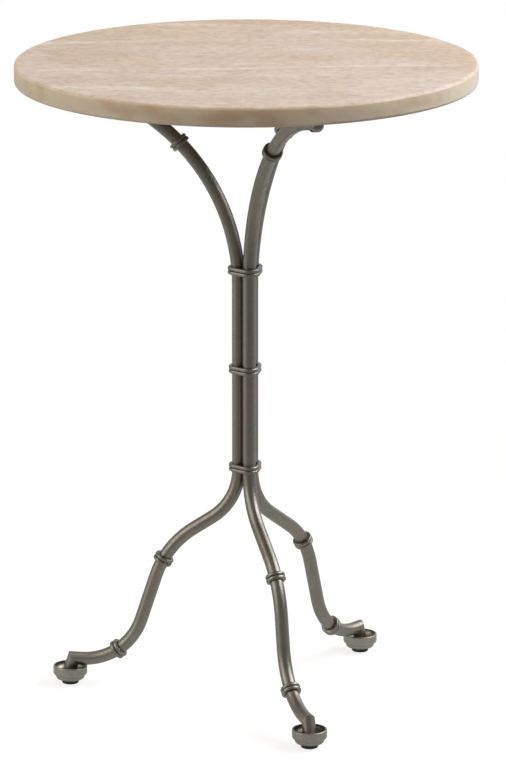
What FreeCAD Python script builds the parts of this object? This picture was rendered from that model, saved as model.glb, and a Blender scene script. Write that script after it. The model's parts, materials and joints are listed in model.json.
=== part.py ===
import FreeCAD, Part
import math
import os

# Round accent table: a stone top on three bent rods that are bundled into a column,
# splay into arms under the top and into S-shaped legs that stand in small cups.
# Millimetres, +Z up, origin on the floor under the middle of the column.
# Each rod is drawn in its own upright plane, with X as the distance from the column's
# axis, and then turned to its side of the table.

V = FreeCAD.Vector
UP = V(0, 0, 1)
SIDES = {"left": 150, "front": 270, "right": 30}  # degrees round the column

# Overall
TABLE_HEIGHT = 616.0
TOP_DIAMETER = 432.0
TOP_THICKNESS = 18.5
TOP_ARRIS = 2.5

# Rods
ROD_DIAMETER = 12.7
ROD_GAP = 0.2            # weld gap between neighbours in the column
ARM_TIP_INSET = 22.0     # rim of the top to the arm's rounded tip
ARM_RISE = 190.1         # height of the arm's curve
ARM_SWING = {"left": 0.0, "front": 0.0, "right": 8.0}  # degrees that an arm is out of line with its leg
ARM_SEAT_DEPTH = 2.2     # flat ground on the tip
HIP_HEIGHT = 191.0       # where column and thigh would cross
HIP_BEND = 58.0
THIGH_SLOPE = 34.0       # degrees below level
FOOT_RADIUS = 173.0      # axis of the column to the middle of a foot
TOE_LEAN = 18.0          # degrees that the mitred stub leans outward

# Below the thigh each leg was bent by hand, a little unlike the others
SHIN_SLOPE = {"left": 71.8, "front": 79.3, "right": 74.7}  # degrees below level
KNEE_BEND = {"left": 94.7, "front": 76.0, "right": 77.0}
ANKLE_BEND = {"left": 62.0, "front": 62.2, "right": 57.8}
TOE_LENGTH = {"left": 56.0, "front": 61.3, "right": 54.6}  # where shin and toe would cross, to the foot

# Beaded rings and collars
BEAD_WIDTH = 3.8
BEAD_PROUD = 3.1
BEAD_ROUND = 1.5
RING_FIT = 0.1
RING_SHARES = {          # how far down its bend each ring was set on its rod
    "arm_ring": {"left": 0.48, "front": 0.446, "right": 0.47},
    "knee_ring": {"left": 0.7, "front": 0.37, "right": 0.52},
    "ankle_ring": {"left": 0.5, "front": 0.49, "right": 0.51},
}
COLLAR_LIFT = 15.0       # top collar above the foot of the arm's curve
COLLAR_DROP = 3.0        # bottom collar above the start of the hip bend

# Screws, inserts and washers under the top
SCREW_DIAMETER = 5.0
SCREW_INSET = 5.0        # middle of the tip's round to the screw
SCREW_HOLE_CLEARANCE = 0.25
SCREW_ENGAGEMENT = 8.0
SCREW_HEAD_DIAMETER = 9.5
SCREW_HEAD_HEIGHT = 2.75
SCREW_HEAD_ROUND = 1.2
SOCKET_WIDTH = 3.0
SOCKET_DEPTH = 1.6
SPOT_FACE_DEPTH = 2.4
SPOT_FACE_CLEARANCE = 0.25
WASHER_DIAMETER = 10.4
WASHER_THICKNESS = 1.5
INSERT_WALL = 1.5
INSERT_SPARE = 2.0       # thread left above the screw
INSERT_GLUE = 0.1
THREAD_FIT = 0.05

# Foot cups
CUP_RIM_DIAMETER = 32.8
CUP_DRUM_DIAMETER = 27.6
CUP_HEIGHT = 13.4
CUP_FLOOR_THICKNESS = 6.4
CUP_RIM_HEIGHT = 9.2
CUP_RIM_ROUND = 2.4
CUP_DRUM_ROUND = 2.6
CUP_LIP_WIDTH = 1.6
CUP_LIP_ROUND = 0.9
CUP_FLOOR_MARGIN = 2.2   # flat floor round the toe's stub
TOE_CLEARANCE = 0.85     # toe above the cup's rim

# Levelling glides
GLIDE_DIAMETER = 16.2
GLIDE_HEIGHT = 4.2
GLIDE_ROUND = 1.2
GLIDE_SEAT_GAP = 0.2
GLIDE_TRAVEL = 6.0
GLIDE_FLOOR = 1.4        # plastic under the stud's flange
STUD_DIAMETER = 6.0
STUD_FLANGE_DIAMETER = 9.0
STUD_FLANGE_THICKNESS = 1.4
STUD_CHAMFER = 0.6
STUD_HOLE_CLEARANCE = 0.3

# Worked out from the sizes above
ROD_RADIUS = ROD_DIAMETER / 2
BUNDLE_RADIUS = (ROD_DIAMETER + ROD_GAP) / math.sqrt(3)
TOP_UNDERSIDE = TABLE_HEIGHT - TOP_THICKNESS
ARM_SEAT = TOP_UNDERSIDE - WASHER_THICKNESS
CUP_BOTTOM = GLIDE_HEIGHT + GLIDE_SEAT_GAP
CUP_TOP = CUP_BOTTOM + CUP_HEIGHT
CUP_FLOOR = CUP_BOTTOM + CUP_FLOOR_THICKNESS
TOE_HEIGHT = CUP_TOP + TOE_CLEARANCE + ROD_RADIUS
STUD_TOP = CUP_FLOOR + GLIDE_TRAVEL
SCREW_RADIUS = SCREW_DIAMETER / 2
STUD_RADIUS = STUD_DIAMETER / 2
INSERT_LENGTH = SCREW_ENGAGEMENT + INSERT_SPARE
INSERT_RADIUS = SCREW_RADIUS + INSERT_WALL
CUT_SIZE = TABLE_HEIGHT  # cutting blocks are larger than anything they cut

# Points of a rod's centre line that every rod has, from the arm's tip to the toe
ARM_TIP = V(TOP_DIAMETER / 2 - ARM_TIP_INSET - ROD_RADIUS, 0, ARM_SEAT + ARM_SEAT_DEPTH - ROD_RADIUS)
ARM_FOOT = V(BUNDLE_RADIUS, 0, ARM_TIP.z - ARM_RISE)
HIP = V(BUNDLE_RADIUS, 0, HIP_HEIGHT)
THIGH_FALL = math.tan(math.radians(THIGH_SLOPE))
STUB_DIRECTION = V(math.sin(math.radians(TOE_LEAN)), 0, -math.cos(math.radians(TOE_LEAN)))
STUB_MIDDLE = V(FOOT_RADIUS, 0, (CUP_FLOOR + CUP_TOP) / 2)
TOE = STUB_MIDDLE + STUB_DIRECTION * ((TOE_HEIGHT - STUB_MIDDLE.z) / STUB_DIRECTION.z)
SCREW_FOOT = V(ARM_TIP.x - SCREW_INSET, 0, ARM_TIP.z - ROD_RADIUS + SPOT_FACE_DEPTH)


def line(start, end):
    return Part.LineSegment(start, end).toShape()


def arc(start, middle, end):
    return Part.Arc(start, middle, end).toShape()


def closed_edges(shape):
    return [edge for edge in shape.Edges if edge.isClosed()]


def half_space(point, normal):
    """A large block on the side of a plane that its normal points to."""
    block = Part.makeBox(CUT_SIZE, CUT_SIZE, CUT_SIZE, V(-CUT_SIZE / 2, -CUT_SIZE / 2, 0))
    block.Placement = FreeCAD.Placement(point, FreeCAD.Rotation(UP, normal))
    return block


def arm_arc():
    """The arm's curve: upright where it leaves the column, and through the tip."""
    reach = ARM_TIP.x - ARM_FOOT.x
    radius = (reach ** 2 + ARM_RISE ** 2) / (2 * reach)
    centre = ARM_FOOT + V(radius, 0, 0)
    half_turn = math.atan2(ARM_RISE, radius - reach) / 2
    middle = centre + V(-math.cos(half_turn), 0, math.sin(half_turn)) * radius
    return arc(ARM_TIP, middle, ARM_FOOT)


def bend(before, corner, after, radius):
    """The arc that rounds one corner of the centre line."""
    back = (before - corner).normalize()
    ahead = (after - corner).normalize()
    half_angle = back.getAngle(ahead) / 2
    run = radius / math.tan(half_angle)
    inward = (back + ahead).normalize()
    middle = corner + inward * (radius / math.sin(half_angle) - radius)
    return arc(corner + back * run, middle, corner + ahead * run)


ARM_CURVE = arm_arc()
HIP_CURVE = bend(ARM_FOOT, HIP, HIP + V(1, 0, -THIGH_FALL), HIP_BEND)


def lower_bends(side):
    """The knee's and the ankle's bend of one leg."""
    ankle = V(FOOT_RADIUS - TOE_LENGTH[side], 0, TOE_HEIGHT)
    shin_fall = math.tan(math.radians(SHIN_SLOPE[side]))
    reach = (TOE_HEIGHT - HIP.z + (ankle.x - HIP.x) * shin_fall) / (shin_fall - THIGH_FALL)
    knee = HIP + V(1, 0, -THIGH_FALL) * reach
    return bend(HIP, knee, ankle, KNEE_BEND[side]), bend(knee, ankle, TOE, ANKLE_BEND[side])


def swung(shape, side):
    """What belongs to an arm, turned about its own rod by that arm's swing."""
    return shape.rotated(V(BUNDLE_RADIUS, 0, 0), UP, ARM_SWING[side])


def ends(edge):
    return edge.valueAt(edge.FirstParameter), edge.valueAt(edge.LastParameter)


def rod_bar(arm_curve, side):
    """The round bar from the arm's tip to past the mitre at the toe."""
    curves = [arm_curve, HIP_CURVE, *lower_bends(side)]
    edges = [arm_curve]
    for before, after in zip(curves, curves[1:]):
        edges += [line(ends(before)[1], ends(after)[0]), after]
    edges.append(line(ends(curves[-1])[1], TOE + V(ROD_DIAMETER, 0, 0)))
    section = Part.makeCircle(ROD_RADIUS, ends(arm_curve)[0], arm_curve.tangentAt(arm_curve.FirstParameter))
    return Part.Wire(edges).makePipe(Part.Face(Part.Wire(section)))


def toe_stub():
    """The short length of the same bar that is mitred on and stands in the cup."""
    stub = Part.makeCylinder(ROD_RADIUS, 4 * ROD_DIAMETER, TOE - STUB_DIRECTION * ROD_DIAMETER, STUB_DIRECTION)
    return stub.cut(half_space(V(0, 0, CUP_FLOOR), -UP))


def rod(side):
    """One bent rod, with its rounded tip, ground seat and drilled holes."""
    mitre = (V(1, 0, 0) + STUB_DIRECTION).normalize()
    arm_curve = swung(ARM_CURVE, side)
    bar = rod_bar(arm_curve, side).cut(half_space(TOE, mitre))
    stub = toe_stub().cut(half_space(TOE, -mitre))
    tip_end = -arm_curve.tangentAt(arm_curve.FirstParameter)
    tip = Part.makeSphere(ROD_RADIUS, ends(arm_curve)[0], tip_end, 0, 90)
    seat = half_space(V(0, 0, ARM_SEAT), UP)
    screw_hole = Part.makeCylinder(SCREW_RADIUS + SCREW_HOLE_CLEARANCE, ROD_DIAMETER, SCREW_FOOT)
    spot_face = Part.makeCylinder(
        SCREW_HEAD_DIAMETER / 2 + SPOT_FACE_CLEARANCE, ROD_DIAMETER, SCREW_FOOT, -UP)
    stud_hole = Part.makeCylinder(
        STUD_RADIUS + STUD_HOLE_CLEARANCE, GLIDE_TRAVEL + STUD_HOLE_CLEARANCE, V(FOOT_RADIUS, 0, CUP_FLOOR))
    whole = bar.fuse([stub, tip]).removeSplitter()
    return whole.cut([seat, swung(screw_hole, side), swung(spot_face, side), stud_hole])


def beaded(outside, bore):
    """Two rounded beads one on the other, about z = 0, from the outlines at z = 0."""
    bead = Part.Face(outside).extrude(UP * BEAD_WIDTH)
    rims = [edge for edge in bead.Edges if abs(edge.tangentAt(edge.FirstParameter).z) < 0.5]
    bead = bead.makeFillet(BEAD_ROUND, rims).cut(Part.Face(bore).extrude(UP * BEAD_WIDTH))
    return bead.fuse(bead.translated(-UP * BEAD_WIDTH)).removeSplitter()


def circle(radius):
    return Part.Wire(Part.makeCircle(radius))


def rod_ring(curve, share):
    """A ring on a rod, part of the way along one of its bends."""
    sag = BEAD_WIDTH ** 2 / (2 * curve.Curve.Radius)
    ring = beaded(circle(ROD_RADIUS + BEAD_PROUD), circle(ROD_RADIUS + RING_FIT + sag))
    place = curve.FirstParameter + share * (curve.LastParameter - curve.FirstParameter)
    ring.Placement = FreeCAD.Placement(curve.valueAt(place), FreeCAD.Rotation(UP, curve.tangentAt(place)))
    return ring


def bundle_outline(radius):
    """Three equal arcs round the rods of the column, joined by straight runs."""
    edges = []
    for angle in (0, 120, 240):
        corner = turned(V(BUNDLE_RADIUS, 0, 0), angle)
        here = [corner + turned(V(radius, 0, 0), angle + side) for side in (-60, 0, 60)]
        ahead = turned(V(BUNDLE_RADIUS, 0, 0), angle + 120) + turned(V(radius, 0, 0), angle + 60)
        edges += [arc(*here), line(here[2], ahead)]
    return Part.Wire(edges)


def turned(vector, angle):
    return FreeCAD.Rotation(UP, angle).multVec(vector)


def splay(height):
    """How far a rod has already left the column at a height on the arm's or hip's curve."""
    curve, past = ARM_CURVE, height - ARM_FOOT.z
    if past < 0:
        curve, past = HIP_CURVE, ends(HIP_CURVE)[0].z - height
    radius = curve.Curve.Radius
    return radius - math.sqrt(radius ** 2 - max(past, 0) ** 2)


def collar(height):
    """A collar round the three rods of the column."""
    slack = max(splay(height + BEAD_WIDTH), splay(height - BEAD_WIDTH))
    hold = ROD_RADIUS + slack
    ring = beaded(bundle_outline(hold + BEAD_PROUD), bundle_outline(hold + RING_FIT))
    return ring.rotated(V(), UP, SIDES["right"]).translated(UP * height)


def table_top():
    """The stone disc, with eased edges and blind holes for the inserts."""
    top = Part.makeCylinder(TOP_DIAMETER / 2, TOP_THICKNESS, UP * TOP_UNDERSIDE)
    top = top.makeFillet(TOP_ARRIS, closed_edges(top))
    hole = Part.makeCylinder(
        INSERT_RADIUS + INSERT_GLUE, INSERT_LENGTH + INSERT_GLUE, V(SCREW_FOOT.x, 0, TOP_UNDERSIDE))
    return top.cut([swung(hole, side).rotated(V(), UP, angle) for side, angle in SIDES.items()])


def tube(outer, inner, length, foot):
    return Part.makeCylinder(outer, length, foot).cut(Part.makeCylinder(inner, length, foot))


def top_insert():
    """Threaded sleeve glued into the stone."""
    return tube(INSERT_RADIUS, SCREW_RADIUS + THREAD_FIT, INSERT_LENGTH, V(SCREW_FOOT.x, 0, TOP_UNDERSIDE))


def top_washer():
    """Soft washer between the arm's ground seat and the stone."""
    bore = SCREW_RADIUS + SCREW_HOLE_CLEARANCE
    return tube(WASHER_DIAMETER / 2, bore, WASHER_THICKNESS, V(SCREW_FOOT.x, 0, ARM_SEAT))


def top_screw():
    """Button-head socket screw, driven up through the arm's tip."""
    head = Part.makeCylinder(SCREW_HEAD_DIAMETER / 2, SCREW_HEAD_HEIGHT, -UP * SCREW_HEAD_HEIGHT)
    lower_rim = [edge for edge in closed_edges(head) if edge.CenterOfMass.z < -SCREW_HEAD_HEIGHT / 2]
    head = head.makeFillet(SCREW_HEAD_ROUND, lower_rim)
    corner = V(SOCKET_WIDTH / math.sqrt(3), 0, -SCREW_HEAD_HEIGHT)
    hexagon = Part.makePolygon([turned(corner, 60 * side) for side in range(7)])
    head = head.cut(Part.Face(hexagon).extrude(UP * SOCKET_DEPTH))
    shank = Part.makeCylinder(SCREW_RADIUS, TOP_UNDERSIDE + SCREW_ENGAGEMENT - SCREW_FOOT.z)
    return head.fuse(shank).removeSplitter().translated(SCREW_FOOT)


def quarter_round(centre, radius, first, last):
    """Arc of a turned profile in the XZ plane, between two angles in degrees."""
    spots = []
    for angle in (first, (first + last) / 2, last):
        turn = math.radians(angle)
        spots.append(centre + V(math.cos(turn), 0, math.sin(turn)) * radius)
    return arc(*spots)


def foot_cup():
    """Turned cup: base, drum, rolled rim and a dished top with a flat floor."""
    bore = STUD_RADIUS + THREAD_FIT
    drum, rim = CUP_DRUM_DIAMETER / 2, CUP_RIM_DIAMETER / 2
    rim_bottom = CUP_TOP - CUP_RIM_HEIGHT
    floor_edge = V(ROD_RADIUS + CUP_FLOOR_MARGIN, 0, CUP_FLOOR)
    mouth = V(rim - CUP_LIP_WIDTH, 0, CUP_TOP)
    reach, depth = mouth.x - floor_edge.x, CUP_TOP - CUP_FLOOR
    dish = (reach ** 2 + depth ** 2) / (2 * depth)
    dish_end = math.degrees(math.atan2(depth - dish, reach))
    base_round = quarter_round(V(drum - CUP_DRUM_ROUND, 0, CUP_BOTTOM + CUP_DRUM_ROUND), CUP_DRUM_ROUND, -90, 0)
    rim_round = quarter_round(V(rim - CUP_RIM_ROUND, 0, rim_bottom + CUP_RIM_ROUND), CUP_RIM_ROUND, -90, 0)
    lip_round = quarter_round(V(rim - CUP_LIP_ROUND, 0, CUP_TOP - CUP_LIP_ROUND), CUP_LIP_ROUND, 0, 90)
    dish_curve = quarter_round(floor_edge + UP * dish, dish, dish_end, -90)
    base_inner, floor_inner = V(bore, 0, CUP_BOTTOM), V(bore, 0, CUP_FLOOR)
    drum_top = V(drum, 0, rim_bottom)
    edges = [line(base_inner, ends(base_round)[0]), base_round, line(ends(base_round)[1], drum_top),
             line(drum_top, ends(rim_round)[0]), rim_round, line(ends(rim_round)[1], ends(lip_round)[0]),
             lip_round, line(ends(lip_round)[1], mouth), dish_curve, line(floor_edge, floor_inner),
             line(floor_inner, base_inner)]
    cup = Part.Face(Part.Wire(edges)).revolve(V(), UP, 360)
    return cup.translated(V(FOOT_RADIUS, 0, 0))


def glide_pad():
    """Black plastic pad, moulded round the stud's flange so that the stud turns in it."""
    foot = V(FOOT_RADIUS, 0, 0)
    pad = Part.makeCylinder(GLIDE_DIAMETER / 2, GLIDE_HEIGHT, foot)
    lower_rim = [edge for edge in closed_edges(pad) if edge.CenterOfMass.z < GLIDE_HEIGHT / 2]
    pad = pad.makeFillet(GLIDE_ROUND, lower_rim)
    pocket = Part.makeCylinder(
        STUD_FLANGE_DIAMETER / 2 + THREAD_FIT, STUD_FLANGE_THICKNESS + 2 * THREAD_FIT,
        foot + UP * (GLIDE_FLOOR - THREAD_FIT))
    neck = Part.makeCylinder(STUD_RADIUS + THREAD_FIT, GLIDE_HEIGHT, foot + UP * GLIDE_FLOOR)
    return pad.cut([pocket, neck])


def glide_stud():
    """Threaded stud with a flange that carries the pad."""
    foot = V(FOOT_RADIUS, 0, GLIDE_FLOOR)
    flange = Part.makeCylinder(STUD_FLANGE_DIAMETER / 2, STUD_FLANGE_THICKNESS, foot)
    shank = Part.makeCylinder(STUD_RADIUS, STUD_TOP - GLIDE_FLOOR, foot)
    tip = [edge for edge in closed_edges(shank) if edge.CenterOfMass.z > CUP_FLOOR]
    return flange.fuse(shank.makeChamfer(STUD_CHAMFER, tip)).removeSplitter()


def save(name, shape):
    shape.exportStep("parts/" + name + ".step")


def on_side(side):
    """The pieces that every side has, in the upright plane of its leg."""
    shares = {name: share[side] for name, share in RING_SHARES.items()}
    knee_curve, ankle_curve = lower_bends(side)
    return {
        "rod": rod(side),
        "arm_ring": swung(rod_ring(ARM_CURVE, shares["arm_ring"]), side),
        "knee_ring": rod_ring(knee_curve, shares["knee_ring"]),
        "ankle_ring": rod_ring(ankle_curve, shares["ankle_ring"]),
        "top_insert": swung(top_insert(), side),
        "top_washer": swung(top_washer(), side),
        "top_screw": swung(top_screw(), side),
        "foot_cup": foot_cup(),
        "glide_pad": glide_pad(),
        "glide_stud": glide_stud(),
    }


def main():
    os.makedirs("parts", exist_ok=True)
    save("table_top", table_top())
    for side, angle in SIDES.items():
        for name, shape in on_side(side).items():
            save(name + "_" + side, shape.rotated(V(), UP, angle))
    top_height = ARM_FOOT.z + COLLAR_LIFT
    bottom_height = ends(HIP_CURVE)[0].z + COLLAR_DROP
    save("column_collar_top", collar(top_height))
    save("column_collar_middle", collar((top_height + bottom_height) / 2))
    save("column_collar_bottom", collar(bottom_height))


main()
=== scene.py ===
import json
import math

import bpy
from mathutils import Euler, Matrix, Vector


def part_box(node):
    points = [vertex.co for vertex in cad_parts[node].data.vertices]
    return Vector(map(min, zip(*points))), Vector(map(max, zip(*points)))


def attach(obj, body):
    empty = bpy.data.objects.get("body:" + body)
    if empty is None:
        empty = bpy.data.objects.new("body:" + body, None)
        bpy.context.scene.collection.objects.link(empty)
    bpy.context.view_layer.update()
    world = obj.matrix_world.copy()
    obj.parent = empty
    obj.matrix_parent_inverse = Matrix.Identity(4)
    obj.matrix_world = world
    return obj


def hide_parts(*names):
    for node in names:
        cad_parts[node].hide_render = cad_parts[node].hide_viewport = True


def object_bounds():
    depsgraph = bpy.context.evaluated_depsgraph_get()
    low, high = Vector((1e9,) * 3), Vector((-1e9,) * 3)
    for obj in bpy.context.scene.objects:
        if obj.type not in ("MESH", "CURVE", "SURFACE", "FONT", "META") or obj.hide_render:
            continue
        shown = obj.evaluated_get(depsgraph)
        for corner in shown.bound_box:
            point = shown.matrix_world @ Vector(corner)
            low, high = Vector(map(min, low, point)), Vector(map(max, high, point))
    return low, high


# Accent table: a honed travertine top on three bent rods with an aged pewter finish.
# Metres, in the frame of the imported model: +Z up, origin on the floor under the column.

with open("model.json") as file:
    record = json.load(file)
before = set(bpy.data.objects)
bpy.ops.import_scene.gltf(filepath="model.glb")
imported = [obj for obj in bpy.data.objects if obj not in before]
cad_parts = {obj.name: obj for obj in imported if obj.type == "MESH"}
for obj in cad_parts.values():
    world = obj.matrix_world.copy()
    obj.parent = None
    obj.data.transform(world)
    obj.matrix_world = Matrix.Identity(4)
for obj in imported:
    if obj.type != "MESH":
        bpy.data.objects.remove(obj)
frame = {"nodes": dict(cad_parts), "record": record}        # nodes and the imported record
CAD_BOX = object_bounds()
NODES = frame["nodes"]
MM = 0.001

# The photograph's camera, found from the round top, the column and the feet
VIEW_AZIMUTH = math.radians(-19.730)   # 0 looks along +Y
VIEW_YAW = math.radians(-0.077)        # the column stands a little left of the picture's middle
VIEW_PITCH = math.radians(-14.663)
EYE_DISTANCE = 4.5879                  # level distance from the column
EYE_HEIGHT = 1.5064
LENS_MM = 235.18
SENSOR_MM = 36                         # along the picture's long side

# Studio
BACKWARD = (-math.sin(VIEW_AZIMUTH), math.cos(VIEW_AZIMUTH), 0.0)   # the way that camera looks, level
WHITE = (1, 1, 1, 1)
FLOOR_SIZE = 14.0
FLOOR_PAINT = "#9a9894"
FLOOR_GLOW = 0.80                      # share of the floor's white that the shadow can't darken
SHADOW_REACH = (0.35, 0.8)             # from here outward the floor runs into plain white
METAL_FLOOR = (0.28, 0.64)             # how much of the floor's white metal shows, in front and behind
METAL_REACH = (-0.6, 0.2)              # how far behind the column the one runs into the other
METAL_SKY = (0.25, 0.8)                # the same for the open side of the studio and the backdrop
BACKDROP_TURN = (0.35, 0.95)           # how far towards the back the one runs into the other
SKY_LEVEL = 0.15                       # what the white surroundings give to matt surfaces
LAMP_DISTANCE = 2.4

# Each lamp's degrees round from the camera and up, width, height, level on the table and colour
SOFTBOXES = {
    "softbox_right": (97, 38, 2.4, 1.3, 1.05, "#f7f9ff"),
    "softbox_left": (-70, 20, 1.8, 2.2, 0.45, "#fffaf5"),
    "softbox_above": (-90, 78, 1.6, 1.2, 0.2, "#fffcf8"),
}

TOP_RADIUS = (CAD_BOX[1].x - CAD_BOX[0].x) / 2
STONE_DEPTH = (12 * MM, 9 * MM, 6 * MM)   # how far red, green and blue light spreads in the stone

# Levelling studs, with a metric M6 thread
SIDES = ("left", "front", "right")
THREAD_PITCH = 1.0 * MM
THREAD_CREST = 2.98 * MM               # radius
THREAD_ROOT = 2.4 * MM
CREST_WIDTH = THREAD_PITCH / 8
ROOT_WIDTH = THREAD_PITCH / 4
THREAD_STEPS = 40                      # facets in one turn
SPARE_TURNS = 2                        # cut off at the ends
STUD_FLANGE = (4.5 * MM, 1.4 * MM)     # radius and thickness
FLANGE_FACETS = 64
FLANGE_EASE = 0.2 * MM
SAME_POINT = 0.001 * MM                # points closer than this are merged
SHARP_ANGLE = math.radians(25)         # edges that turn more than this stay sharp


def linear(hex_colour):
    """An sRGB hex colour as linear RGBA."""
    channels = [int(hex_colour[i:i + 2], 16) / 255 for i in (1, 3, 5)]
    return tuple(c / 12.92 if c <= 0.04045 else ((c + 0.055) / 1.055) ** 2.4 for c in channels) + (1.0,)


def per_mm(*sizes):
    """Pattern scale, for coordinates in metres, that makes patches of these sizes in millimetres."""
    return tuple(1 / (size * MM) for size in sizes)


def add(tree, kind, inputs, output=0, **settings):
    """Adds a node with its settings, sets or links its inputs, and gives one of its outputs, if any."""
    node = tree.nodes.new("ShaderNode" + kind)
    for name, value in settings.items():
        setattr(node, name, value)
    for key, value in inputs.items():
        if isinstance(value, bpy.types.NodeSocket):
            tree.links.new(value, node.inputs[key])
        else:
            node.inputs[key].default_value = value
    if node.outputs:
        return node.outputs[output]


# Sockets of a Mix node for colours, which shares its names among several types
FACTOR, FIRST, SECOND, MIXED = 0, 6, 7, 2
COLOURS = {"data_type": "RGBA"}
SMOOTH = {"interpolation_type": "SMOOTHSTEP"}


def new_material(name):
    """An empty material and its nodes."""
    material = bpy.data.materials.new(name)
    material.use_nodes = True
    material.node_tree.nodes.clear()
    return material, material.node_tree


def honed_travertine():
    """Travertine sawn across its bedding, filled and honed matt: greyish pink running into honey, in
    soft bands with reddish clouds, long broken pale veins, fine specks and brown filled pits. Its
    upright edge is creamier and yellower than the top."""
    material, tree = new_material("honed_travertine")
    place = add(tree, "TexCoord", {}, "Object")
    place = add(tree, "Mapping", {"Vector": place, "Rotation": (0, 0, -VIEW_AZIMUTH)})

    # The bedding runs from left to right and wavers by a few millimetres
    waver_place = add(tree, "Mapping", {"Vector": place, "Scale": per_mm(110, 60, 60)})
    waver = add(tree, "TexNoise", {"Vector": waver_place, "Scale": 1.0, "Detail": 2.0}, "Color")
    waver = add(tree, "VectorMath", {0: waver, 1: (0.5, 0.5, 0.5)}, operation="SUBTRACT")
    bed = add(tree, "VectorMath", {
        0: waver, 1: (0.0, 22 * MM, 22 * MM), 2: place}, operation="MULTIPLY_ADD")

    # Greyish pink at the front of the slab, honey-coloured towards its back
    hue_place = add(tree, "Mapping", {"Vector": bed, "Scale": per_mm(150, 80, 60)})
    hue = add(tree, "TexNoise", {"Vector": hue_place, "Scale": 1.0, "Detail": 3.0})
    back = add(tree, "SeparateXYZ", {0: place}, "Y")
    back = add(tree, "MapRange", {
        "Value": back, "From Min": -TOP_RADIUS, "From Max": TOP_RADIUS, "To Min": -0.16, "To Max": 0.16})
    hue = add(tree, "Math", {0: hue, 1: back}, operation="ADD")
    hue = add(tree, "MapRange", {"Value": hue, "From Min": 0.34, "From Max": 0.66}, **SMOOTH)
    colour = add(tree, "Mix", {
        FACTOR: hue, FIRST: linear("#dfcdbd"), SECOND: linear("#dac3a9")}, MIXED, **COLOURS)

    # Bedding: soft bands a few centimetres deep, some paler and some browner than the rest
    layer_place = add(tree, "Mapping", {
        "Vector": bed, "Location": (11.7, 9.4, 0.0), "Scale": per_mm(300, 34, 60)})
    layers = add(tree, "TexNoise", {"Vector": layer_place, "Scale": 1.0, "Detail": 4.0, "Roughness": 0.55})
    brown = add(tree, "MapRange", {
        "Value": layers, "From Min": 0.3, "From Max": 0.5, "To Min": 0.5, "To Max": 0.0}, **SMOOTH)
    colour = add(tree, "Mix", {FACTOR: brown, FIRST: colour, SECOND: linear("#d2bba5")}, MIXED, **COLOURS)
    pale = add(tree, "MapRange", {
        "Value": layers, "From Min": 0.5, "From Max": 0.7, "To Max": 0.5}, **SMOOTH)
    colour = add(tree, "Mix", {FACTOR: pale, FIRST: colour, SECOND: linear("#e8dccf")}, MIXED, **COLOURS)

    # Reddish brown clouds
    cloud_place = add(tree, "Mapping", {
        "Vector": bed, "Location": (3.0, 1.0, 0.0), "Scale": per_mm(60, 46, 40)})
    clouds = add(tree, "TexNoise", {"Vector": cloud_place, "Scale": 1.0, "Detail": 4.0, "Roughness": 0.5})
    clouds = add(tree, "MapRange", {
        "Value": clouds, "From Min": 0.5, "From Max": 0.74, "To Max": 0.7}, **SMOOTH)
    colour = add(tree, "Mix", {FACTOR: clouds, FIRST: colour, SECOND: linear("#d3b8a3")}, MIXED, **COLOURS)

    # Veins: soft lines where a slow pattern passes its middle, broken into lengths
    vein_place = add(tree, "Mapping", {
        "Vector": bed, "Location": (7.0, 5.2, 0.0), "Scale": per_mm(900, 130, 150)})
    veins = add(tree, "TexNoise", {"Vector": vein_place, "Scale": 1.0, "Detail": 1.0, "Roughness": 0.4})
    veins = add(tree, "Math", {0: veins, 1: 0.5}, operation="SUBTRACT")
    veins = add(tree, "Math", {0: veins}, operation="ABSOLUTE")
    veins = add(tree, "MapRange", {
        "Value": veins, "From Min": 0.0, "From Max": 0.045, "To Min": 0.6, "To Max": 0.0}, **SMOOTH)
    break_place = add(tree, "Mapping", {"Vector": place, "Scale": per_mm(130, 40, 30)})
    breaks = add(tree, "TexNoise", {"Vector": break_place, "Scale": 1.0, "Detail": 3.0})
    breaks = add(tree, "MapRange", {"Value": breaks, "From Min": 0.4, "From Max": 0.62}, **SMOOTH)
    veins = add(tree, "Math", {0: veins, 1: breaks}, operation="MULTIPLY")
    colour = add(tree, "Mix", {FACTOR: veins, FIRST: colour, SECOND: linear("#f1e7dc")}, MIXED, **COLOURS)

    # Grain of specks, drawn about twice as coarse as the real one so that it shows
    grain_place = add(tree, "Mapping", {"Vector": bed, "Scale": per_mm(9, 6, 5)})
    grain = add(tree, "TexNoise", {"Vector": grain_place, "Scale": 1.0, "Detail": 4.0, "Roughness": 0.68})
    tone = add(tree, "MapRange", {"Value": grain, "From Min": 0.32, "From Max": 0.62}, **SMOOTH)
    tone = add(tree, "Mix", {
        FACTOR: tone, FIRST: linear("#ede6e0"), SECOND: linear("#ffffff")}, MIXED, **COLOURS)
    colour = add(tree, "Mix", {
        FACTOR: 1.0, FIRST: colour, SECOND: tone}, MIXED, blend_type="MULTIPLY", **COLOURS)

    # Filled pits, most of them along the paler bands
    pit_place = add(tree, "Mapping", {"Vector": bed, "Scale": per_mm(14, 8, 6)})
    pits = add(tree, "TexNoise", {"Vector": pit_place, "Scale": 1.0, "Detail": 2.0})
    pits = add(tree, "MapRange", {
        "Value": pits, "From Min": 0.62, "From Max": 0.74, "To Max": 0.5}, **SMOOTH)
    pit_bands = add(tree, "MapRange", {
        "Value": pale, "From Min": 0.0, "From Max": 0.5, "To Min": 0.3}, **SMOOTH)
    pits = add(tree, "Math", {0: pits, 1: pit_bands}, operation="MULTIPLY")
    colour = add(tree, "Mix", {FACTOR: pits, FIRST: colour, SECOND: linear("#ae9480")}, MIXED, **COLOURS)
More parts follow.
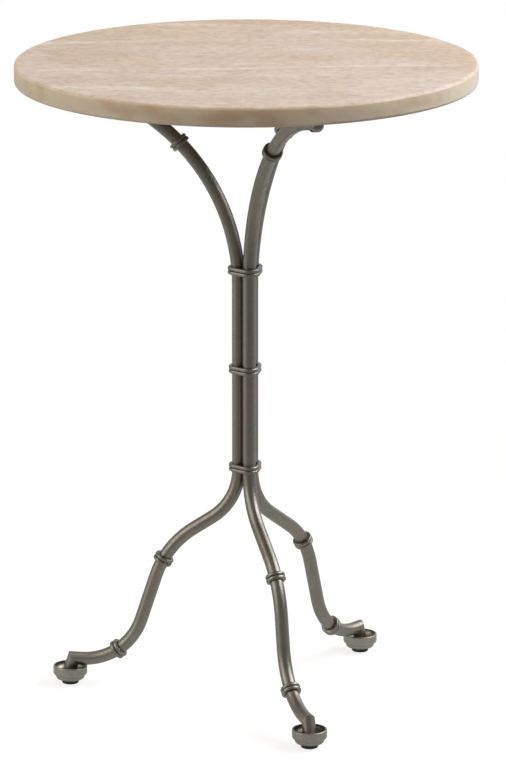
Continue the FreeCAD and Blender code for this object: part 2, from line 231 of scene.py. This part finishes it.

    # The upright edge is creamier and yellower than the top, with faint brown blotches
    upright = add(tree, "NewGeometry", {}, "Normal")
    upright = add(tree, "SeparateXYZ", {0: upright}, "Z")
    upright = add(tree, "Math", {0: upright}, operation="ABSOLUTE")
    edge = add(tree, "MapRange", {
        "Value": upright, "From Min": 0.25, "From Max": 0.85, "To Min": 1.0, "To Max": 0.0}, **SMOOTH)
    blotch_place = add(tree, "Mapping", {"Vector": place, "Scale": per_mm(34, 34, 18)})
    blotches = add(tree, "TexNoise", {"Vector": blotch_place, "Scale": 1.0, "Detail": 3.0})
    blotches = add(tree, "MapRange", {
        "Value": blotches, "From Min": 0.46, "From Max": 0.72, "To Max": 0.6}, **SMOOTH)
    cream = add(tree, "Mix", {
        FACTOR: blotches, FIRST: linear("#e2d5bc"), SECOND: linear("#cdb18b")}, MIXED, **COLOURS)
    cream = add(tree, "Mix", {FACTOR: 0.08, FIRST: cream, SECOND: colour}, MIXED, **COLOURS)
    colour = add(tree, "Mix", {FACTOR: edge, FIRST: colour, SECOND: cream}, MIXED, **COLOURS)

    # Honed, not polished: the grain breaks up what little gloss there is
    matt = add(tree, "MapRange", {
        "Value": grain, "From Min": 0.3, "From Max": 0.7, "To Min": 0.66, "To Max": 0.56})
    relief = add(tree, "Bump", {"Strength": 0.12, "Distance": 0.4 * MM, "Height": grain})
    surface = add(tree, "BsdfPrincipled", {
        "Base Color": colour, "Roughness": matt, "Normal": relief, "IOR": 1.5, "Specular IOR Level": 0.25,
        "Subsurface Weight": 0.8, "Subsurface Radius": STONE_DEPTH, "Subsurface Scale": 1.0})
    add(tree, "OutputMaterial", {"Surface": surface})
    return material


def aged_pewter(name, warm, cool, rubbed, recess_mm):
    """Pewter-coloured finish on iron, darkened and rubbed back: satin, a little warmer and cooler
    from place to place, paler where it was rubbed, and browner in the recesses and between parts,
    where a dark glaze also stands in as painted shade."""
    material, tree = new_material(name)
    place = add(tree, "TexCoord", {}, "Object")
    drift_place = add(tree, "Mapping", {
        "Vector": place, "Location": (6.7, 2.9, 9.1), "Scale": per_mm(38, 38, 46)})
    drift = add(tree, "TexNoise", {"Vector": drift_place, "Scale": 1.0, "Detail": 3.0})
    drift = add(tree, "MapRange", {"Value": drift, "From Min": 0.35, "From Max": 0.65}, **SMOOTH)
    colour = add(tree, "Mix", {FACTOR: drift, FIRST: linear(warm), SECOND: linear(cool)}, MIXED, **COLOURS)

    # Rubbed in small spots, which are also a little smoother
    rub_place = add(tree, "Mapping", {"Vector": place, "Scale": per_mm(3.2, 3.2, 5)})
    rubbing = add(tree, "TexNoise", {"Vector": rub_place, "Scale": 1.0, "Detail": 4.0, "Roughness": 0.6})
    worn = add(tree, "MapRange", {
        "Value": rubbing, "From Min": 0.5, "From Max": 0.75, "To Max": 0.3}, **SMOOTH)
    colour = add(tree, "Mix", {FACTOR: worn, FIRST: colour, SECOND: linear(rubbed)}, MIXED, **COLOURS)

    # Painted shade: darker brown in the recesses and between parts, which also stands for a dark glaze left
    # there
    corner = add(tree, "AmbientOcclusion", {"Distance": recess_mm * MM}, "AO", samples=16)
    corner = add(tree, "MapRange", {
        "Value": corner, "From Min": 0.1, "From Max": 0.8, "To Min": 0.5, "To Max": 0.0}, **SMOOTH)
    colour = add(tree, "Mix", {FACTOR: corner, FIRST: colour, SECOND: linear("#261b14")}, MIXED, **COLOURS)

    satin = add(tree, "MapRange", {
        "Value": rubbing, "From Min": 0.3, "From Max": 0.7, "To Min": 0.46, "To Max": 0.37})
    relief = add(tree, "Bump", {"Strength": 0.06, "Distance": 0.1 * MM, "Height": rubbing})
    surface = add(tree, "BsdfPrincipled", {
        "Base Color": colour, "Roughness": satin, "Normal": relief, "Metallic": 1.0})
    add(tree, "OutputMaterial", {"Surface": surface})
    return material


def speckled(name, dark, light, grain_mm, roughness, metallic=0.0):
    """A plain finish with fine grain: moulded plastic, rubber, plating, oxide or turned brass."""
    spread = 0.06
    material, tree = new_material(name)
    place = add(tree, "TexCoord", {}, "Object")
    place = add(tree, "Mapping", {"Vector": place, "Scale": per_mm(grain_mm, grain_mm, grain_mm)})
    grain = add(tree, "TexNoise", {"Vector": place, "Scale": 1.0, "Detail": 4.0, "Roughness": 0.6})
    share = add(tree, "MapRange", {"Value": grain, "From Min": 0.35, "From Max": 0.65}, **SMOOTH)
    colour = add(tree, "Mix", {FACTOR: share, FIRST: linear(dark), SECOND: linear(light)}, MIXED, **COLOURS)
    dull = add(tree, "MapRange", {
        "Value": grain, "From Min": 0.3, "From Max": 0.7,
        "To Min": roughness - spread, "To Max": roughness + spread})
    relief = add(tree, "Bump", {"Strength": 0.2, "Distance": 0.1 * MM, "Height": grain})
    surface = add(tree, "BsdfPrincipled", {
        "Base Color": colour, "Roughness": dull, "Normal": relief, "Metallic": metallic})
    add(tree, "OutputMaterial", {"Surface": surface})
    return material


def dress_nodes():
    """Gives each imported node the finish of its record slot, and returns the finishes by slot."""
    finishes = {
        "stone": honed_travertine(),
        "rod_metal": aged_pewter("aged_pewter_bar", "#8e857a", "#838479", "#aea79d", recess_mm=6),
        "ring_metal": aged_pewter("aged_pewter_ring", "#8c867c", "#84847a", "#b4aea5", recess_mm=5),
        "cup_metal": aged_pewter("aged_pewter_cup", "#9a968a", "#949488", "#b8b4a9", recess_mm=12),
        # Matt, with the fine grain of the mould
        "glide_plastic": speckled("moulded_black_nylon", "#1b1b1a", "#282726", 0.7, 0.55),
        # Bright and cool, faintly mottled
        "stud_steel": speckled("zinc_plated_steel", "#a5a6a4", "#bfc0bd", 1.5, 0.35, metallic=1.0),
        # Nearly black, with a dull sheen
        "screw_steel": speckled("black_oxide_steel", "#26251f", "#34332e", 1.0, 0.45, metallic=1.0),
        # Warm yellow, softly bright
        "insert_brass": speckled("turned_brass", "#a98142", "#bf9a58", 1.5, 0.35, metallic=1.0),
        # Black without any gloss
        "washer_rubber": speckled("black_rubber", "#171716", "#232322", 1.2, 0.7),
    }
    for part in frame["record"]["subparts"]:
        NODES[part["node"]].data.materials[0] = finishes[part["material_slot"]]
    return finishes


def threaded_stud(bottom, top):
    """A flanged stud that stands on the Z axis, with its thread cut all along the shank."""
    bpy.ops.object.select_all(action="DESELECT")
    bpy.ops.mesh.primitive_plane_add(size=THREAD_PITCH, location=(THREAD_ROOT, 0, bottom - THREAD_PITCH))
    stud = bpy.context.object
    bpy.ops.object.transform_apply(location=True)

    # One groove's outline, drawn from a single point, then screwed up round the axis
    flank = (THREAD_PITCH - CREST_WIDTH - ROOT_WIDTH) / 2
    depth = THREAD_CREST - THREAD_ROOT
    bpy.ops.object.mode_set(mode="EDIT")
    bpy.ops.mesh.merge(type="CENTER")
    for out, up in ((0, ROOT_WIDTH), (depth, flank), (0, CREST_WIDTH), (-depth, flank)):
        bpy.ops.mesh.extrude_vertices_move(TRANSFORM_OT_translate={"value": (out, 0, up)})
    bpy.ops.object.mode_set(mode="OBJECT")
    screw = stud.modifiers.new("thread", "SCREW")
    screw.screw_offset = THREAD_PITCH
    screw.iterations = math.ceil((top - bottom) / THREAD_PITCH) + SPARE_TURNS
    screw.steps = screw.render_steps = THREAD_STEPS
    bpy.ops.object.modifier_apply(modifier=screw.name)

    # Both ends are cut off square, the lower one inside the flange
    radius, thickness = STUD_FLANGE
    bpy.ops.object.mode_set(mode="EDIT")
    bpy.ops.mesh.select_all(action="SELECT")
    bpy.ops.mesh.remove_doubles(threshold=SAME_POINT)
    bpy.ops.mesh.bisect(
        plane_co=(0, 0, bottom + thickness / 2), plane_no=(0, 0, 1), use_fill=True, clear_inner=True)
    bpy.ops.mesh.select_all(action="SELECT")
    bpy.ops.mesh.bisect(plane_co=(0, 0, top), plane_no=(0, 0, 1), use_fill=True, clear_outer=True)

    # The flange, with its rims eased
    bpy.ops.mesh.select_all(action="DESELECT")
    bpy.ops.mesh.primitive_cylinder_add(
        vertices=FLANGE_FACETS, radius=radius, depth=thickness, location=(0, 0, bottom + thickness / 2))
    bpy.ops.mesh.bevel(offset=FLANGE_EASE, segments=2, affect="EDGES")
    bpy.ops.mesh.select_all(action="SELECT")
    bpy.ops.mesh.normals_make_consistent(inside=False)
    bpy.ops.object.mode_set(mode="OBJECT")
    bpy.ops.object.shade_smooth_by_angle(angle=SHARP_ANGLE)
    return stud


def levelling_studs(finish):
    """The threaded stud over each glide, which shows when the glide is screwed out."""
    low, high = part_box("glide_stud_front")
    pattern = threaded_stud(low.z, high.z)
    pattern.data.materials.append(finish)
    for side in SIDES:
        low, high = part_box("glide_stud_" + side)
        stud = pattern.copy()
        stud.data = pattern.data.copy()
        stud.name = stud.data.name = "threaded_stud_" + side
        stud.data.transform(Matrix.Translation(((low.x + high.x) / 2, (low.y + high.y) / 2, 0)))
        bpy.context.scene.collection.objects.link(stud)
        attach(stud, side + "_stud")
        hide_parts("glide_stud_" + side)
    bpy.data.objects.remove(pattern)


def shows_surroundings(tree):
    """1 for rays that show the surroundings: straight, reflected or through glass."""
    camera = add(tree, "LightPath", {}, "Is Camera Ray")
    glossy = add(tree, "LightPath", {}, "Is Glossy Ray")
    through = add(tree, "LightPath", {}, "Is Transmission Ray")
    seen = add(tree, "Math", {0: camera, 1: glossy}, operation="MAXIMUM")
    return add(tree, "Math", {0: seen, 1: through}, operation="MAXIMUM")


def white_level(tree, metal_share):
    """Strength of the white surroundings: 1, or a share of it where metal mirrors them."""
    glossy = add(tree, "LightPath", {}, "Is Glossy Ray")
    return add(tree, "MapRange", {"Value": glossy, "To Min": 1.0, "To Max": metal_share})


def studio_world():
    """White surroundings, which light matt surfaces only a little."""
    world = bpy.data.worlds.new("studio")
    bpy.context.scene.world = world
    world.use_nodes = True
    tree = world.node_tree
    tree.nodes.clear()
    direction = add(tree, "TexCoord", {}, "Generated")
    behind = add(tree, "VectorMath", {0: direction, 1: BACKWARD}, "Value", operation="DOT_PRODUCT")
    metal_share = add(tree, "MapRange", {
        "Value": behind, "From Min": BACKDROP_TURN[0], "From Max": BACKDROP_TURN[1],
        "To Min": METAL_SKY[0], "To Max": METAL_SKY[1]}, **SMOOTH)
    level = add(tree, "MapRange", {
        "Value": shows_surroundings(tree), "To Min": SKY_LEVEL, "To Max": white_level(tree, metal_share)})
    white = add(tree, "Background", {"Color": WHITE, "Strength": level})
    add(tree, "OutputWorld", {"Surface": white})


def studio_floor():
    """Pale floor that keeps a soft shadow and runs into the white surroundings."""
    bpy.ops.mesh.primitive_plane_add(size=FLOOR_SIZE)
    floor = bpy.context.object
    floor.name = "floor"
    material, tree = new_material("pale_floor")
    place = add(tree, "TexCoord", {}, "Object")
    distance = add(tree, "VectorMath", {0: place}, "Value", operation="LENGTH")
    behind = add(tree, "VectorMath", {0: place, 1: BACKWARD}, "Value", operation="DOT_PRODUCT")
    metal_share = add(tree, "MapRange", {
        "Value": behind, "From Min": METAL_REACH[0], "From Max": METAL_REACH[1],
        "To Min": METAL_FLOOR[0], "To Max": METAL_FLOOR[1]}, **SMOOTH)
    level = white_level(tree, metal_share)
    glow_level = add(tree, "Math", {0: level, 1: FLOOR_GLOW}, operation="MULTIPLY")
    paint = add(tree, "BsdfDiffuse", {"Color": linear(FLOOR_PAINT)})
    glow = add(tree, "Emission", {"Color": WHITE, "Strength": glow_level})
    near = add(tree, "AddShader", {0: paint, 1: glow})
    white = add(tree, "Emission", {"Color": WHITE, "Strength": level})
    far = add(tree, "MapRange", {
        "Value": distance, "From Min": SHADOW_REACH[0], "From Max": SHADOW_REACH[1]}, **SMOOTH)
    shown = add(tree, "MixShader", {0: far, 1: near, 2: white})
    surface = add(tree, "MixShader", {0: shows_surroundings(tree), 1: paint, 2: shown})
    add(tree, "OutputMaterial", {"Surface": surface})
    floor.data.materials.append(material)


def softbox(name, azimuth, elevation, width, height, level, colour):
    """An area lamp that faces the table's middle, placed by its angles from the photograph's camera."""
    turn = VIEW_AZIMUTH + math.radians(azimuth)
    rise = math.radians(elevation)
    back = Vector((math.sin(turn) * math.cos(rise), -math.cos(turn) * math.cos(rise), math.sin(rise)))
    middle = (CAD_BOX[0] + CAD_BOX[1]) / 2
    data = bpy.data.lights.new(name, "AREA")
    data.shape = "RECTANGLE"
    data.size, data.size_y = width, height
    data.energy = level * (math.pi * LAMP_DISTANCE) ** 2
    data.color = linear(colour)[:3]
    lamp = bpy.data.objects.new(name, data)
    bpy.context.scene.collection.objects.link(lamp)
    lamp.location = middle + back * LAMP_DISTANCE
    lamp.rotation_euler = (-back).to_track_quat("-Z", "Y").to_euler()


def studio_lamps():
    """Soft light from high on the right, less from the left, some from above, none by the camera."""
    for name, setting in SOFTBOXES.items():
        softbox(name, *setting)


def photograph_camera():
    """The camera at the photograph's own view."""
    data = bpy.data.cameras.new("camera")
    data.sensor_width = SENSOR_MM
    data.lens = LENS_MM
    camera = bpy.data.objects.new("camera", data)
    bpy.context.scene.collection.objects.link(camera)
    camera.location = (
        EYE_DISTANCE * math.sin(VIEW_AZIMUTH), -EYE_DISTANCE * math.cos(VIEW_AZIMUTH), EYE_HEIGHT)
    camera.rotation_euler = Euler((math.radians(90) + VIEW_PITCH, 0, VIEW_AZIMUTH + VIEW_YAW))
    bpy.context.scene.camera = camera


finishes = dress_nodes()
levelling_studs(finishes["stud_steel"])
studio_world()
studio_floor()
studio_lamps()
photograph_camera()
bpy.context.scene.view_settings.view_transform = "Standard"
